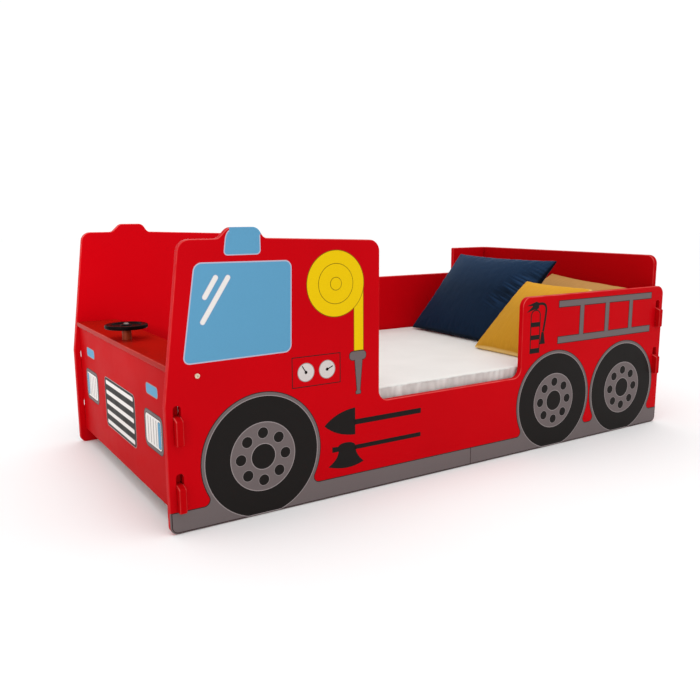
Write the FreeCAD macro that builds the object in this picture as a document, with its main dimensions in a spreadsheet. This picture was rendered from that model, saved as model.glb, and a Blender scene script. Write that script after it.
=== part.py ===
"""A toddler's bed in the outline of a fire engine, as a parametric FreeCAD document.

Frame: +X from the cab to the pillow end, -Y is the side with the low entry, +Z up, millimetres.
The origin is on the floor, under the middle of the box round the bed and its steering wheel.
"""
import FreeCAD, Part
import math
import operator
import os
import types

import Sketcher

# Driving dimensions, in millimetres and degrees
SIZES = {
    # The mattress, which the bed is built round
    "mattress_length": 1400,
    "mattress_width": 700,
    "mattress_thickness": 98,
    "mattress_side_gap": 5,
    "mattress_end_gap": 11,
    "mattress_corner": 40,
    "mattress_edge": 9,
    "mattress_waist": 2.7,
    "mattress_crown": 4,
    "mattress_crown_inset": 150,
    # Boards and clearances
    "board": 15,
    "edge_round": 2.5,
    "fit_gap": 0.4,
    "soft_gap": 0.3,
    "cushion_rest_gap": 0.9,
    # Outline of the sides: places along X are measured from the front edge
    "kink_height": 255,
    "roof_front_inset": 40,
    "roof_front_height": 565,
    "bump_start": 118,
    "bump_climb": 22,
    "bump_crest": 60,
    "bump_descent": 14,
    "bump_rise": 21,
    "roof_fall_at_bump": 0.5,
    "roof_fall_behind": 9.5,
    "cab_length": 487,
    "sill_height": 200,
    "entry_length": 436,
    "guard_height": 403,
    "far_step_length": 173,
    "roof_corner": 25,
    "sill_corner": 24,
    "floor_corner": 16,
    "bump_corner": 14,
    "crest_corner": 18,
    "step_corner": 4,
    # Slots in the sides, and the hooked tabs of the end panels that hang in them
    "slot_inset": 23,
    "slot_play": 0.5,
    "slot_lift": 5,
    "slot_round": 7,
    "front_lower_seat": 61,
    "front_slot_spacing": 134,
    "rear_slot_margin": 40,
    "rear_slot_spacing": 137,
    "tab_neck": 38,
    "hook_drop": 17,
    "tab_reach": 14,
    "tab_slope": 5,
    "tab_round": 4,
    # Front and rear panels
    "end_panel_clearance": 37,
    "rear_panel_height": 490,
    "rear_panel_corner": 25,
    # Dash shelf, with the battens and dowels that hold it
    "shelf_height": 330,
    "shelf_board": 12,
    "shelf_front": 10,
    "shelf_depth": 105,
    "batten": 20,
    "batten_front_gap": 2.5,
    "batten_rear_gap": 8,
    "batten_bolt_inset": 66,
    "batten_screw_margin": 12,
    "bolt_diameter": 6,
    "bolt_head_diameter": 10,
    "bolt_head_height": 3,
    "bolt_head_round": 1.8,
    "bolt_socket_width": 4,
    "bolt_socket_depth": 2,
    "nut_diameter": 10,
    "nut_length": 8,
    "dowel_diameter": 8,
    "dowel_length": 30,
    "dowel_cover": 4,
    "dowel_spacing": 250,
    # Steering wheel on its post
    "steering_clearance": 3,
    "post_diameter": 21,
    "post_height": 25,
    "wheel_diameter": 96,
    "wheel_thickness": 9,
    "wheel_rim": 13,
    "wheel_dish": 3.2,
    "wheel_boss_diameter": 22,
    "wheel_round": 3.2,
    "wheel_running_gap": 0.05,
    "steering_head_diameter": 12,
    "steering_crown_diameter": 8.4,
    "steering_head_height": 3,
    "steering_washer_diameter": 16,
    "steering_washer": 1,
    "steering_nut_width": 10,
    "steering_nut_height": 6,
    # Slatted base
    "slat_top_height": 124,
    "slat_width": 68,
    "slat_thickness": 15,
    "slat_end_gap": 2,
    "slat_margin": 20,
    "bearer_height": 40,
    "bearer_thickness": 22,
    "bearer_end_gap": 6,
    # Wood screws
    "screw_diameter": 4,
    "screw_head_diameter": 8,
    "screw_crown_diameter": 5.6,
    "screw_head_height": 2,
    "screw_bite": 10,
    "screw_cover": 5,
    "screw_play": 0.1,
    "bearer_screw_margin": 60,
    # Cushions: gap to the nearer side, lean back from flat, turn in plan, roll in own plane
    "tan_width": 330,
    "tan_tall": 330,
    "tan_thickness": 76,
    "tan_side_gap": 70,
    "tan_lean": 31,
    "tan_turn": 0,
    "tan_roll": -7,
    "navy_width": 440,
    "navy_tall": 314,
    "navy_thickness": 100,
    "navy_side_gap": 50,
    "navy_lean": 51,
    "navy_turn": 0,
    "navy_roll": -0.5,
    "mustard_width": 245,
    "mustard_tall": 272,
    "mustard_thickness": 92,
    "mustard_side_gap": 8.5,
    "mustard_lean": 42,
    "mustard_turn": 2,
    "mustard_roll": -2,
}
SLAT_COUNT = 12
BEARER_SCREWS = 6
# Largest share of a wall that a rounding may take
ROUND_SHARE = 0.45

doc = FreeCAD.newDocument("fire_engine_bed")
sheet = doc.addObject("Spreadsheet::Sheet", "Sizes")
nodes = {}


class Size:
    """A length that carries its number and the spreadsheet expression it comes from."""

    def __init__(self, number, text):
        self.number = number
        self.text = text

    def __add__(self, other):
        return joined(self, "+", other)

    def __radd__(self, other):
        return joined(other, "+", self)

    def __sub__(self, other):
        return joined(self, "-", other)

    def __rsub__(self, other):
        return joined(other, "-", self)

    def __mul__(self, other):
        return joined(self, "*", other)

    def __rmul__(self, other):
        return joined(other, "*", self)

    def __truediv__(self, other):
        return joined(self, "/", other)

    def __neg__(self):
        return joined(0, "-", self)


def as_size(value):
    """Gives a plain number the form of a Size."""
    if isinstance(value, Size):
        return value
    return Size(value, repr(float(value)))


def joined(left, sign, right):
    """Joins two lengths into one, in number and in expression."""
    work = {"+": operator.add, "-": operator.sub, "*": operator.mul, "/": operator.truediv}
    first = as_size(left)
    second = as_size(right)
    number = work[sign](first.number, second.number)
    return Size(number, "(%s %s %s)" % (first.text, sign, second.text))


def fill_sheet():
    """Writes the driving dimensions to the spreadsheet and gives them back as named lengths."""
    lengths = {}
    for row, (name, number) in enumerate(SIZES.items(), start=1):
        sheet.set("A%d" % row, name)
        sheet.set("B%d" % row, str(number))
        sheet.setAlias("B%d" % row, name)
        lengths[name] = Size(number, "Sizes." + name)
    doc.recompute()
    return types.SimpleNamespace(**lengths)


dim = fill_sheet()

# Lengths that several pieces share
bed_width = dim.mattress_width + 2 * dim.mattress_side_gap + 2 * dim.board
half_width = bed_width / 2
inner_half_width = half_width - dim.board
end_panel_front = dim.slot_inset - dim.board / 2
inner_front = dim.slot_inset + dim.board / 2
inner_length = dim.mattress_length + 2 * dim.mattress_end_gap
bed_length = inner_length + 2 * inner_front
half_length = bed_length / 2
entry_end = dim.cab_length + dim.entry_length
slot_width = dim.board + 2 * dim.slot_play
slot_height = dim.tab_neck + dim.hook_drop + dim.slot_lift
front_seats = [dim.front_lower_seat, dim.front_lower_seat + dim.front_slot_spacing]
rear_upper_seat = dim.guard_height - dim.rear_slot_margin - slot_height
rear_seats = [rear_upper_seat - dim.rear_slot_spacing, rear_upper_seat]
shelf_underside = dim.shelf_height - dim.shelf_board
batten_start = inner_front + dim.batten_front_gap
batten_length = dim.shelf_front + dim.shelf_depth - dim.batten_rear_gap - batten_start
batten_bolt_height = shelf_underside - dim.batten / 2
shelf_screw_bite = dim.shelf_board - dim.screw_cover
dowel_in_shelf = dim.shelf_board - dim.dowel_cover
steering_inset = inner_front + dim.steering_washer_diameter / 2 + dim.steering_clearance
wheel_overhang = dim.wheel_diameter / 2 - steering_inset
front_to_middle = (bed_length - wheel_overhang) / 2
bearer_top = dim.slat_top_height - dim.slat_thickness
bearer_screw_height = bearer_top - dim.bearer_height / 2
bearer_start = inner_front + dim.bearer_end_gap
bearer_length = inner_length - 2 * dim.bearer_end_gap
side_screw_bite = dim.board - dim.screw_cover
bolt_hole = dim.bolt_diameter + 2 * dim.fit_gap
screw_hole = dim.screw_diameter + 2 * dim.screw_play
dowel_hole = dim.dowel_diameter + 2 * dim.screw_play
mattress_bottom = dim.slat_top_height + dim.soft_gap
mattress_top = mattress_bottom + dim.mattress_thickness + dim.mattress_crown


def limited(radius, wall):
    """A rounding that takes no more than its share of the wall it is on."""
    most = wall * ROUND_SHARE
    return Size(min(radius.number, most.number), "min(%s; %s)" % (radius.text, most.text))


def spaced(first, last, count):
    """Places spread evenly from the first to the last."""
    return [first + (last - first) * (i / (count - 1)) for i in range(count)]


bearer_screw_places = spaced(
    bearer_start + dim.bearer_screw_margin,
    bearer_start + bearer_length - dim.bearer_screw_margin,
    BEARER_SCREWS,
)
slat_places = spaced(
    inner_front + dim.slat_margin,
    inner_front + inner_length - dim.slat_margin - dim.slat_width,
    SLAT_COUNT,
)
dowel_places = spaced(-dim.dowel_spacing, dim.dowel_spacing, 3)
batten_screw_places = spaced(
    batten_start + dim.batten_screw_margin,
    batten_start + batten_length - dim.batten_screw_margin,
    2,
)


# Helpers for bodies, sketches and features
def bind(thing, prop, value):
    """Ties one property to the spreadsheet."""
    thing.setExpression(prop, as_size(value).text)


def set_place(thing, x, y, z):
    """Ties a piece's place to the spreadsheet, with x measured from the front edge."""
    bind(thing, "Placement.Base.x", x - front_to_middle)
    bind(thing, "Placement.Base.y", y)
    bind(thing, "Placement.Base.z", z)


def new_body(label, x, y, z):
    """Starts a PartDesign body for one piece."""
    body = doc.addObject("PartDesign::Body", label)
    body.Label = label
    set_place(body, x, y, z)
    nodes[label] = body
    return body


def new_sketch(body, role, height=None):
    """Attaches an empty sketch to one of the body's own origin planes."""
    plane = [feature for feature in body.Origin.OriginFeatures if feature.Role == role][0]
    sketch = body.newObject("Sketcher::SketchObject", body.Label + "_sketch")
    sketch.AttachmentSupport = [(plane, "")]
    sketch.MapMode = "FlatFace"
    if height is not None:
        bind(sketch, "AttachmentOffset.Base.z", height)
    return sketch


def pin(sketch, item, point, u, v):
    """Fixes one point of a sketch at a place tied to the spreadsheet."""
    for kind, axis, value in (("DistanceX", -2, as_size(u)), ("DistanceY", -1, as_size(v))):
        if value.number == 0:
            sketch.addConstraint(Sketcher.Constraint("PointOnObject", item, point, axis))
            continue
        rule = Sketcher.Constraint(kind, -1, 1, item, point, value.number)
        index = sketch.addConstraint(rule)
        sketch.setExpression("Constraints[%d]" % index, value.text)


def add_polygon(sketch, points):
    """Draws a closed outline of straight lines, with every corner pinned."""
    first = sketch.GeometryCount
    count = len(points)
    corners = [FreeCAD.Vector(as_size(u).number, as_size(v).number, 0) for u, v in points]
    for i in range(count):
        sketch.addGeometry(Part.LineSegment(corners[i], corners[(i + 1) % count]), False)
    for i in range(count):
        following = first + (i + 1) % count
        sketch.addConstraint(Sketcher.Constraint("Coincident", first + i, 2, following, 1))
    for i, (u, v) in enumerate(points):
        pin(sketch, first + i, 1, u, v)


def add_circle(sketch, u, v, diameter):
    """Draws a circle with its centre pinned and its diameter tied to the spreadsheet."""
    centre = FreeCAD.Vector(as_size(u).number, as_size(v).number, 0)
    width = as_size(diameter)
    item = sketch.addGeometry(Part.Circle(centre, FreeCAD.Vector(0, 0, 1), width.number / 2), False)
    pin(sketch, item, 3, u, v)
    index = sketch.addConstraint(Sketcher.Constraint("Diameter", item, width.number))
    sketch.setExpression("Constraints[%d]" % index, width.text)


def pad(body, sketch, thickness, reverse=False):
    """Gives a sketch its thickness."""
    feature = body.newObject("PartDesign::Pad", body.Label + "_pad")
    feature.Profile = sketch
    bind(feature, "Length", thickness)
    feature.Reversed = reverse
    doc.recompute()


def pocket(body, sketch, depth=None, reverse=False):
    """Cuts a sketch into a body, right through where no depth is given."""
    before = body.Shape.Volume
    feature = body.newObject("PartDesign::Pocket", body.Label + "_pocket")
    feature.Profile = sketch
    feature.Reversed = reverse
    if depth is None:
        feature.Type = "ThroughAll"
    else:
        bind(feature, "Length", depth)
    doc.recompute()
    if not body.Shape.Volume < before:
        raise RuntimeError("a pocket of %s cuts nothing" % body.Label)


def fillet(body, names, radius):
    """Rounds the named edges or faces of a body's last feature."""
    base = body.Tip
    feature = body.newObject("PartDesign::Fillet", body.Label + "_fillet")
    feature.Base = (base, names)
    bind(feature, "Radius", radius)
    doc.recompute()


def corner_edges(body, corners, flat):
    """Names the straight edges that run through the board at the given corners of its outline."""
    names = []
    for i, edge in enumerate(body.Tip.Shape.Edges, start=1):
        ends = [flat(vertex.Point) for vertex in edge.Vertexes]
        if len(ends) < 2 or math.dist(ends[0], ends[1]) > 1e-4:
            continue
        if any(math.dist(ends[0], corner) < 1e-3 for corner in corners):
            names.append("Edge%d" % i)
    return names


def board_faces(body, axis):
    """Names the two large faces of a board, whose normal is along the given axis."""
    names = []
    for i, face in enumerate(body.Tip.Shape.Faces, start=1):
        if face.Surface.TypeId == "Part::GeomPlane" and abs(face.normalAt(0, 0).dot(axis)) > 0.999:
            names.append("Face%d" % i)
    return names


def numbers(points):
    """The plain numbers of a list of pinned corners."""
    return [(as_size(u).number, as_size(v).number) for u, v in points]


def seen_from_side(point):
    """A point's place in the outline of a side panel."""
    return (point.x, point.z)


def seen_from_front(point):
    """A point's place in the outline of a front or rear panel."""
    return (point.y, point.z)


# Side panels: cab with a beacon bump, then an entry sill and a guard, or one long guard that steps
# up to the rear panel's height at the pillow
def side_outline(has_entry):
    """Corners of a side panel, each with the name of its rounding."""
    crest_front = dim.bump_start + dim.bump_climb
    crest_rear = crest_front + dim.bump_crest
    crest_height = dim.roof_front_height + dim.bump_rise
    roof_behind_bump = dim.roof_front_height - dim.roof_fall_at_bump
    front = [
        (0, 0, "floor_corner"),
        (0, dim.kink_height, None),
        (dim.roof_front_inset, dim.roof_front_height, "roof_corner"),
        (dim.bump_start, dim.roof_front_height, "bump_corner"),
        (crest_front, crest_height, "crest_corner"),
        (crest_rear, crest_height, "crest_corner"),
        (crest_rear + dim.bump_descent, roof_behind_bump, "bump_corner"),
        (dim.cab_length, roof_behind_bump - dim.roof_fall_behind, "roof_corner"),
    ]
    entry = [
        (dim.cab_length, dim.sill_height, "sill_corner"),
        (entry_end, dim.sill_height, "sill_corner"),
        (entry_end, dim.guard_height, "roof_corner"),
    ]
    step = bed_length - dim.far_step_length
    wall = [
        (dim.cab_length, dim.guard_height, "sill_corner"),
        (step, dim.guard_height, "step_corner"),
        (step, dim.rear_panel_height, "step_corner"),
    ]
    rear_height = dim.guard_height if has_entry else dim.rear_panel_height
    rear = [
        (bed_length, rear_height, "roof_corner"),
        (bed_length, 0, "floor_corner"),
    ]
    return front + (entry if has_entry else wall) + rear


def slot_outlines():
    """The four slots of a side panel, each from its seat up."""
    places = [(dim.slot_inset, seat) for seat in front_seats]
    places += [(bed_length - dim.slot_inset, seat) for seat in rear_seats]
    outlines = []
    for middle, seat in places:
        left = middle - slot_width / 2
        right = middle + slot_width / 2
        top = seat + slot_height
        outlines.append([(left, seat), (right, seat), (right, top), (left, top)])
    return outlines


def make_side(label, is_near):
    """Cuts, rounds and drills one side panel, drawn on its inner face."""
    inner_y = -inner_half_width if is_near else inner_half_width
    body = new_body(label, as_size(0), inner_y, as_size(0))
    outline = side_outline(is_near)
    sketch = new_sketch(body, "XZ_Plane")
    add_polygon(sketch, [(u, v) for u, v, _ in outline])
    pad(body, sketch, dim.board, reverse=not is_near)
    roundings = ("sill_corner", "roof_corner", "floor_corner", "bump_corner", "crest_corner", "step_corner")
    for rounding in roundings:
        corners = numbers([(u, v) for u, v, name in outline if name == rounding])
        if corners:
            fillet(body, corner_edges(body, corners, seen_from_side), getattr(dim, rounding))
    fillet(body, board_faces(body, FreeCAD.Vector(0, 1, 0)), limited(dim.edge_round, dim.board))
    slots = new_sketch(body, "XZ_Plane")
    for corners in slot_outlines():
        add_polygon(slots, corners)
    pocket(body, slots, reverse=is_near)
    tops = numbers([corner for corners in slot_outlines() for corner in corners[2:]])
    fillet(body, corner_edges(body, tops, seen_from_side), limited(dim.slot_round, slot_width))
    bolt = new_sketch(body, "XZ_Plane")
    add_circle(bolt, dim.batten_bolt_inset, batten_bolt_height, bolt_hole)
    pocket(body, bolt, reverse=is_near)
    pilots = new_sketch(body, "XZ_Plane")
    for place in bearer_screw_places:
        add_circle(pilots, place, bearer_screw_height, screw_hole)
    pocket(body, pilots, depth=side_screw_bite + dim.screw_play, reverse=is_near)


make_side("near_side_panel", True)
make_side("far_side_panel", False)


# Front and rear panels: boards between the sides, with two hooked tabs at each end
tab_tip = half_width + dim.fit_gap + dim.tab_reach


def end_outline(seats, top, near_corner):
    """Corners of an end panel, from the floor up the far end, over the top and down the near end."""
    plate = inner_half_width - dim.fit_gap
    hook = half_width + dim.fit_gap
    rising = [(plate, dim.end_panel_clearance, None)]
    for seat in seats:
        rising += [
            (plate, seat, None),
            (hook, seat, None),
            (hook, seat - dim.hook_drop, None),
            (tab_tip, seat - dim.hook_drop, "tab_round"),
            (tab_tip, seat + dim.tab_neck - dim.tab_slope, "tab_round"),
            (hook, seat + dim.tab_neck, None),
            (plate, seat + dim.tab_neck, None),
        ]
    far_end = [(tab_tip + y, z, name) for y, z, name in rising]
    near_end = [(tab_tip - y, z, name) for y, z, name in reversed(rising)]
    top_corners = [(tab_tip + plate, top, None), (tab_tip - plate, top, near_corner)]
    return far_end + top_corners + near_end


def make_end(label, front_face, seats, top, near_corner):
    """Cuts and rounds one end panel; its far top corner stays square, to finish flush beside its side."""
    body = new_body(label, front_face, -tab_tip, as_size(0))
    outline = end_outline(seats, top, near_corner)
    sketch = new_sketch(body, "YZ_Plane")
    add_polygon(sketch, [(u, v) for u, v, _ in outline])
    pad(body, sketch, dim.board)
    for rounding, radius in (
        ("tab_round", limited(dim.tab_round, dim.tab_reach)),
        ("rear_panel_corner", dim.rear_panel_corner),
    ):
        corners = numbers([(u, v) for u, v, name in outline if name == rounding])
        if corners:
            fillet(body, corner_edges(body, corners, seen_from_front), radius)
    fillet(body, board_faces(body, FreeCAD.Vector(1, 0, 0)), limited(dim.edge_round, dim.board))
    return body


front_panel = make_end("front_panel", end_panel_front, front_seats, shelf_underside, None)
dowel_bores = new_sketch(front_panel, "XY_Plane", shelf_underside)
for place in dowel_places:
    add_circle(dowel_bores, dim.board / 2, tab_tip + place, dowel_hole)
pocket(front_panel, dowel_bores, depth=dim.dowel_length - dowel_in_shelf + dim.fit_gap)
make_end(
    "rear_panel", bed_length - inner_front, rear_seats, dim.rear_panel_height, "rear_panel_corner"
)


# Dash shelf: lies on the front panel and on a batten at each end
shelf_half = inner_half_width - dim.fit_gap
shelf = new_body("dash_shelf", dim.shelf_front, -shelf_half, shelf_underside)
shelf_sketch = new_sketch(shelf, "XY_Plane")
add_polygon(
    shelf_sketch,
    [(0, 0), (dim.shelf_depth, 0), (dim.shelf_depth, 2 * shelf_half), (0, 2 * shelf_half)],
)
pad(shelf, shelf_sketch, dim.shelf_board)
fillet(
    shelf, board_faces(shelf, FreeCAD.Vector(0, 0, 1)), limited(dim.edge_round, dim.shelf_board)
)
shaft_bore = new_sketch(shelf, "XY_Plane")
add_circle(shaft_bore, steering_inset - dim.shelf_front, shelf_half, bolt_hole)
pocket(shelf, shaft_bore, reverse=True)
shelf_dowels = new_sketch(shelf, "XY_Plane")
for place in dowel_places:
    add_circle(shelf_dowels, dim.slot_inset - dim.shelf_front, shelf_half + place, dowel_hole)
pocket(shelf, shelf_dowels, depth=dowel_in_shelf + dim.fit_gap, reverse=True)
shelf_pilots = new_sketch(shelf, "XY_Plane")
batten_line = inner_half_width - dim.batten / 2
for place in batten_screw_places:
    for across in (shelf_half - batten_line, shelf_half + batten_line):
        add_circle(shelf_pilots, place - dim.shelf_front, across, screw_hole)
pocket(shelf, shelf_pilots, depth=shelf_screw_bite + dim.screw_play, reverse=True)


def make_batten(label, inner_y):
    """Cuts one batten and bores it for its bolt and its two screws."""
    body = new_body(label, batten_start, inner_y, shelf_underside - dim.batten)
    sketch = new_sketch(body, "XY_Plane")
    add_polygon(
        sketch, [(0, 0), (batten_length, 0), (batten_length, dim.batten), (0, dim.batten)]
    )
    pad(body, sketch, dim.batten)
    bolt = new_sketch(body, "XZ_Plane")
    add_circle(bolt, dim.batten_bolt_inset - batten_start, dim.batten / 2, bolt_hole)
    pocket(body, bolt)
    screws = new_sketch(body, "XY_Plane")
    for place in batten_screw_places:
        add_circle(screws, place - batten_start, dim.batten / 2, screw_hole)
    pocket(body, screws, reverse=True)


make_batten("near_shelf_batten", -inner_half_width)
make_batten("far_shelf_batten", inner_half_width - dim.batten)


# Groups of fasteners, as separate solids at places read from the same dimensions
def add_group(label, solids):
    """Puts identical loose pieces into one node."""
    group = doc.addObject("Part::Feature", label)
    group.Label = label
    group.Shape = Part.makeCompound(solids)
    nodes[label] = group


def at(x, y, z):
    """A point with x measured from the front edge, in plain numbers."""
    return FreeCAD.Vector(
        as_size(x).number - front_to_middle.number, as_size(y).number, as_size(z).number
    )


def pan_screw(seat, direction, length):
    """A wood screw whose low round head sits on a face; the shank follows the direction."""
    head = dim.screw_head_diameter.number / 2
    crown = dim.screw_crown_diameter.number / 2
    shank = Part.makeCylinder(dim.screw_diameter.number / 2, length, seat, direction)
    cap = Part.makeCone(head, crown, dim.screw_head_height.number, seat, direction * -1)
    return shank.fuse(cap).removeSplitter()


def countersunk_screw(seat, direction, length):
    """A wood screw whose head lies flush with a face."""
    radius = dim.screw_diameter.number / 2
    head = dim.screw_head_diameter.number / 2
    cone = Part.makeCone(head, radius, head - radius, seat, direction)
    return Part.makeCylinder(radius, length, seat, direction).fuse(cone).removeSplitter()


def batten_bolt(side):
    """A bolt with a low domed head and a hexagon socket, through a side panel and its batten."""
    outward = FreeCAD.Vector(0, side, 0)
    seat = at(dim.batten_bolt_inset, half_width * side, batten_bolt_height)
    length = dim.board.number + dim.batten.number + dim.nut_length.number
    radius = dim.bolt_head_diameter.number / 2
    height = dim.bolt_head_height.number
    shank = Part.makeCylinder(dim.bolt_diameter.number / 2, length, seat, outward * -1)
    head = Part.makeCylinder(radius, height, seat, outward)
    rim = [
        edge for edge in head.Edges if (edge.Vertexes[-1].Point - seat).dot(outward) > height / 2
        and edge.Curve.TypeId == "Part::GeomCircle"
    ]
    head = head.makeFillet(dim.bolt_head_round.number, rim)
    reach = dim.bolt_socket_width.number / math.sqrt(3)
    corners = [
        seat + outward * height + FreeCAD.Vector(math.cos(a) * reach, 0, math.sin(a) * reach)
        for a in (math.radians(60 * i) for i in range(7))
    ]
    socket = Part.Face(Part.makePolygon(corners)).extrude(outward * -dim.bolt_socket_depth.number)
    return shank.fuse(head).removeSplitter().cut(socket)


def batten_nut(side):
    """A round sleeve nut on the inner face of a batten."""
    seat = at(dim.batten_bolt_inset, (inner_half_width - dim.batten) * side, batten_bolt_height)
    inward = FreeCAD.Vector(0, -side, 0)
    length = dim.nut_length.number
    sleeve = Part.makeCylinder(dim.nut_diameter.number / 2, length, seat, inward)
    bore = dim.bolt_diameter.number / 2 + dim.screw_play.number
    return sleeve.cut(Part.makeCylinder(bore, length, seat, inward))


add_group("batten_bolts", [batten_bolt(side) for side in (-1, 1)])
add_group("batten_nuts", [batten_nut(side) for side in (-1, 1)])
add_group(
    "shelf_screws",
    [
        pan_screw(
            at(place, batten_line * side, shelf_underside - dim.batten),
            FreeCAD.Vector(0, 0, 1),
            (dim.batten + shelf_screw_bite).number,
        )
        for side in (-1, 1)
        for place in batten_screw_places
    ],
)
add_group(
    "shelf_dowels",
    [
        Part.makeCylinder(
            dim.dowel_diameter.number / 2,
            dim.dowel_length.number,
            at(dim.slot_inset, place, shelf_underside - dim.dowel_length + dowel_in_shelf),
        )
        for place in dowel_places
    ],
)


# Steering wheel: a dished disc that turns on a bolt through its post and the shelf
def make_turned(label, profile, z):
    """Turns a profile of radius and height about the steering axis."""
    body = new_body(label, steering_inset, as_size(0), z)
    sketch = new_sketch(body, "XZ_Plane")
    add_polygon(sketch, profile)
    feature = body.newObject("PartDesign::Revolution", label + "_revolution")
    feature.Profile = sketch
    feature.ReferenceAxis = (sketch, ["V_Axis"])
    feature.Angle = 360
    doc.recompute()
    return body


def ring(inner, outer, height):
    """The profile of a plain ring."""
    return [(inner / 2, 0), (outer / 2, 0), (outer / 2, height), (inner / 2, height)]


wheel_bore = dim.bolt_diameter + 2 * dim.wheel_running_gap
washer_seat = dim.shelf_height + dim.post_height
wheel_seat = washer_seat + dim.steering_washer
wheel_top = wheel_seat + dim.wheel_thickness
bolt_top = wheel_top + dim.fit_gap
nut_seat = shelf_underside - dim.steering_washer
bolt_end = nut_seat - dim.steering_nut_height
make_turned("steering_post", ring(bolt_hole, dim.post_diameter, dim.post_height), dim.shelf_height)
make_turned(
    "wheel_washer", ring(bolt_hole, dim.steering_washer_diameter, dim.steering_washer), washer_seat
)
rim_inside = dim.wheel_diameter / 2 - dim.wheel_rim
boss_side = dim.wheel_boss_diameter / 2
dish_floor = dim.wheel_thickness - dim.wheel_dish
wheel = make_turned(
    "steering_wheel",
    [
        (wheel_bore / 2, 0),
        (dim.wheel_diameter / 2, 0),
        (dim.wheel_diameter / 2, dim.wheel_thickness),
        (rim_inside, dim.wheel_thickness),
        (rim_inside - dim.wheel_dish, dish_floor),
        (boss_side + dim.wheel_dish, dish_floor),
        (boss_side, dim.wheel_thickness),
        (wheel_bore / 2, dim.wheel_thickness),
    ],
    wheel_seat,
)
rims = [
    "Edge%d" % i
    for i, edge in enumerate(wheel.Tip.Shape.Edges, start=1)
    if edge.Curve.TypeId == "Part::GeomCircle" and edge.Curve.Radius > wheel_bore.number
]
fillet(wheel, rims, limited(dim.wheel_round, dim.wheel_thickness))
make_turned(
    "steering_bolt",
    [
        (0, 0),
        (dim.bolt_diameter / 2, 0),
        (dim.bolt_diameter / 2, bolt_top - bolt_end),
        (dim.steering_head_diameter / 2, bolt_top - bolt_end),
        (dim.steering_crown_diameter / 2, bolt_top - bolt_end + dim.steering_head_height),
        (0, bolt_top - bolt_end + dim.steering_head_height),
    ],
    bolt_end,
)
make_turned(
    "shelf_washer", ring(bolt_hole, dim.steering_washer_diameter, dim.steering_washer), nut_seat
)
nut_block = doc.addObject("Part::Prism", "nut_block")
nut_block.Polygon = 6
bind(nut_block, "Circumradius", dim.steering_nut_width / math.sqrt(3))
bind(nut_block, "Height", dim.steering_nut_height)
nut_thread = doc.addObject("Part::Cylinder", "nut_thread")
bind(nut_thread, "Radius", dim.bolt_diameter / 2 + dim.screw_play)
bind(nut_thread, "Height", dim.steering_nut_height)
for tool in (nut_block, nut_thread):
    set_place(tool, steering_inset, as_size(0), bolt_end)
steering_nut = doc.addObject("Part::Cut", "steering_nut")
steering_nut.Label = "steering_nut"
steering_nut.Base = nut_block
steering_nut.Tool = nut_thread
nodes["steering_nut"] = steering_nut


# Slatted base: a bearer along each side, and slats screwed down to both
slat_half = inner_half_width - dim.slat_end_gap
bearer_line = inner_half_width - dim.bearer_thickness / 2


def make_bearer(label, inner_y):
    """Cuts one bearer, with bores for the screws to its side and pilots for the slats."""
    body = new_body(label, bearer_start, inner_y, bearer_top - dim.bearer_height)
    sketch = new_sketch(body, "XY_Plane")
    add_polygon(
        sketch,
        [
            (0, 0),
            (bearer_length, 0),
            (bearer_length, dim.bearer_thickness),
            (0, dim.bearer_thickness),
        ],
    )
    pad(body, sketch, dim.bearer_height)
    bores = new_sketch(body, "XZ_Plane")
    for place in bearer_screw_places:
        add_circle(bores, place - bearer_start, dim.bearer_height / 2, screw_hole)
    pocket(body, bores)
    pilots = new_sketch(body, "XY_Plane", dim.bearer_height)
    for place in slat_places:
        along = place + dim.slat_width / 2 - bearer_start
        add_circle(pilots, along, dim.bearer_thickness / 2, screw_hole)
    pocket(body, pilots, depth=dim.screw_bite + dim.screw_play)


def make_slat(label, start):
    """Cuts one slat, with a countersunk bore over each bearer."""
    body = new_body(label, start, -slat_half, bearer_top)
    sketch = new_sketch(body, "XY_Plane")
    add_polygon(
        sketch, [(0, 0), (dim.slat_width, 0), (dim.slat_width, 2 * slat_half), (0, 2 * slat_half)]
    )
    pad(body, sketch, dim.slat_thickness)
    bores = new_sketch(body, "XY_Plane")
    for across in (slat_half - bearer_line, slat_half + bearer_line):
        add_circle(bores, dim.slat_width / 2, across, screw_hole)
    pocket(body, bores, reverse=True)
    rims = [
        "Edge%d" % i
        for i, edge in enumerate(body.Tip.Shape.Edges, start=1)
        if edge.Curve.TypeId == "Part::GeomCircle"
        and edge.Vertexes[0].Point.z > dim.slat_thickness.number / 2
    ]
    base = body.Tip
    sink = body.newObject("PartDesign::Chamfer", label + "_countersink")
    sink.Base = (base, rims)
    bind(sink, "Size", (dim.screw_head_diameter - dim.screw_diameter) / 2 + dim.screw_play)
    doc.recompute()


make_bearer("near_slat_bearer", -inner_half_width)
make_bearer("far_slat_bearer", inner_half_width - dim.bearer_thickness)
add_group(
    "bearer_screws",
    [
        pan_screw(
            at(place, (inner_half_width - dim.bearer_thickness) * side, bearer_screw_height),
            FreeCAD.Vector(0, side, 0),
            (dim.bearer_thickness + side_screw_bite).number,
        )
        for side in (-1, 1)
        for place in bearer_screw_places
    ],
)
for number, place in enumerate(slat_places, start=1):
    make_slat("slat_%02d" % number, place)
add_group(
    "slat_screws",
    [
        countersunk_screw(
            at(place + dim.slat_width / 2, bearer_line * side, dim.slat_top_height),
            FreeCAD.Vector(0, 0, -1),
            (dim.slat_thickness + dim.screw_bite).number,
        )
        for side in (-1, 1)
        for place in slat_places
    ],
)


# Mattress: flat underneath, sides drawn in at the piping, a low crown on top
def add_soft(label, shape, placement):
    """Puts a soft piece's solid into its node."""
    piece = doc.addObject("Part::Feature", label)
    piece.Label = label
    piece.Shape = shape
    piece.Placement = placement
    nodes[label] = piece


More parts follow.
